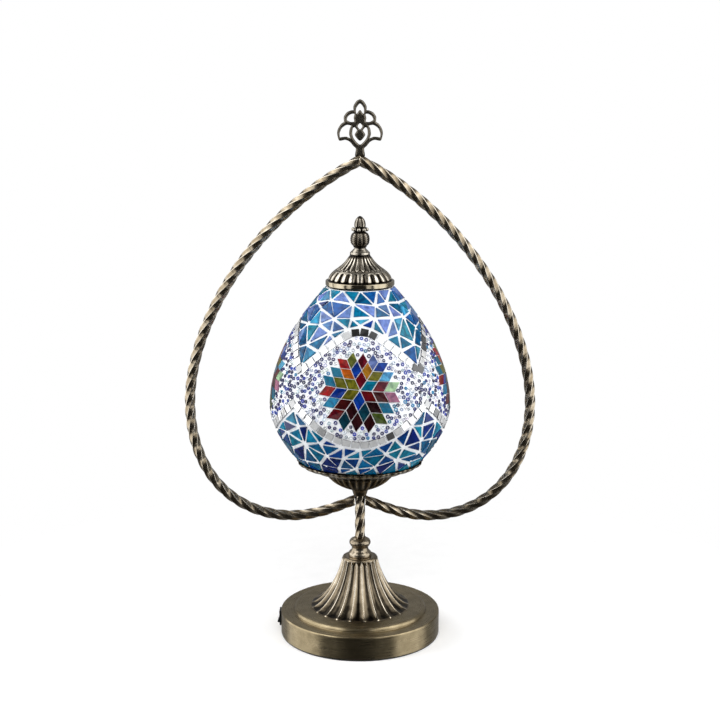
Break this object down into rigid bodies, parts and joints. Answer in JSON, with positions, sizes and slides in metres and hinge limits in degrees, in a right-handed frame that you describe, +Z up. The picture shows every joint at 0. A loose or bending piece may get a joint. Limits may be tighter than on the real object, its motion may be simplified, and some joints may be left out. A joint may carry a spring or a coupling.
{
  "type": "mosaic glass table lamp",
  "caption": "Table lamp with an egg-shaped mosaic glass globe in a spade-shaped frame of twisted brass rod on a fluted stem and round base.",
  "frame": {"origin": "centre of the foot, on the surface the lamp stands on", "axes": "+Z up along the stem, +X to the right in the plane of the spade frame, the front looks along -Y, the switch is on the -X side"},
  "size_m": [0.289, 0.149, 0.4455],
  "materials": {
    "antique_brass": "brushed antique, dark patina in the recesses",
    "pewter_brass": "cast, silvery highlights over a dark patina",
    "zinc_steel": "zinc plated",
    "black_felt": "needled felt",
    "cast_ballast": "rough cast",
    "black_rubber": "matte",
    "black_plastic": "fine moulded",
    "blown_glass": "clear",
    "white_grout": "fine matte plaster",
    "bead_bed": "clear adhesive over white grout",
    "bead_glass": "glossy glass beads in navy, clear, blue and purple",
    "mirror_tile": "silvered",
    "tile_red": "glossy mottled glass",
    "tile_amber": "glossy mottled glass",
    "tile_blue": "glossy mottled glass",
    "tile_teal": "glossy mottled glass",
    "tile_lilac": "glossy mottled glass",
    "tile_navy": "glossy mottled glass",
    "holder_phenolic": "moulded phenolic",
    "bulb_white": "satin white",
    "bulb_glass": "frosted",
    "light_pipe": "yellow phosphor",
    "contact_brass": "bright",
    "cell_jacket": "plain plastic sleeve",
    "wire_red": "insulated wire",
    "wire_black": "insulated wire"
  },
  "bodies": {
    "lamp": {"felt_pad": "black_felt", "base_cover": "zinc_steel", "cover_posts": "zinc_steel", "cover_screws": "zinc_steel", "base_pan": "antique_brass", "ballast_weight": "cast_ballast", "base_washer": "zinc_steel", "base_nut": "zinc_steel", "flute_cone": "antique_brass", "neck_ferrule": "antique_brass", "stem": "antique_brass", "frame_rod_left": "antique_brass", "frame_rod_right": "antique_brass", "palmette": "pewter_brass", "cup_bowl": "antique_brass", "brim_dish": "antique_brass", "cup_washer": "zinc_steel", "cup_nut": "zinc_steel", "globe_seal": "black_rubber", "globe_glass": "blown_glass", "grout_skin": "white_grout", "bead_belt": "bead_bed", "seed_beads": "bead_glass", "mirror_tiles": "mirror_tile", "star_tiles_red": "tile_red", "star_tiles_amber": "tile_amber", "star_tiles_blue": "tile_blue", "upper_tiles_teal": "tile_teal", "upper_tiles_blue": "tile_blue", "upper_tiles_lilac": "tile_lilac", "lower_tiles_teal": "tile_teal", "lower_tiles_navy": "tile_navy", "socket_base": "holder_phenolic", "socket_shell": "holder_phenolic", "socket_thread": "zinc_steel", "socket_contact": "contact_brass", "switch_housing": "black_plastic", "switch_terminals": "contact_brass", "battery_tray": "black_plastic", "battery_cells": "cell_jacket", "battery_contacts": "zinc_steel", "battery_springs": "zinc_steel", "wire_live": "wire_red", "wire_return": "wire_black", "wire_switch": "wire_red"},
    "bulb": {"bulb_glass": "bulb_glass", "bulb_collar": "bulb_white", "bulb_screw_shell": "zinc_steel", "bulb_tip_contact": "contact_brass", "bulb_light_pipe": "light_pipe"},
    "cap": {"cap_collar": "pewter_brass", "cap_dome": "pewter_brass", "cap_knob": "pewter_brass", "cap_stud": "zinc_steel", "cap_nut": "zinc_steel", "cap_spring": "zinc_steel"},
    "rocker": {"switch_rocker": "black_plastic"},
    "door": {"battery_door": "black_plastic"}
  },
  "joints": [
    {"name": "cap_lift", "type": "slide", "parent": "lamp", "child": "cap", "axis": [0, 0, 1], "range_m": [0, 0.034]},
    {"name": "bulb_unscrew", "type": "slide", "parent": "lamp", "child": "bulb", "axis": [0, 0, 1], "range_m": [0, 0.021]},
    {"name": "switch_rock", "type": "hinge", "parent": "lamp", "child": "rocker", "pos_m": [-0.0656, 0, 0.0124], "axis": [0, -1, 0], "range_deg": [0, 20]},
    {"name": "battery_door_swing", "type": "hinge", "parent": "lamp", "child": "door", "pos_m": [0.0142, 0, 0.0026], "axis": [0, 1, 0], "range_deg": [0, 95]}
  ]
}
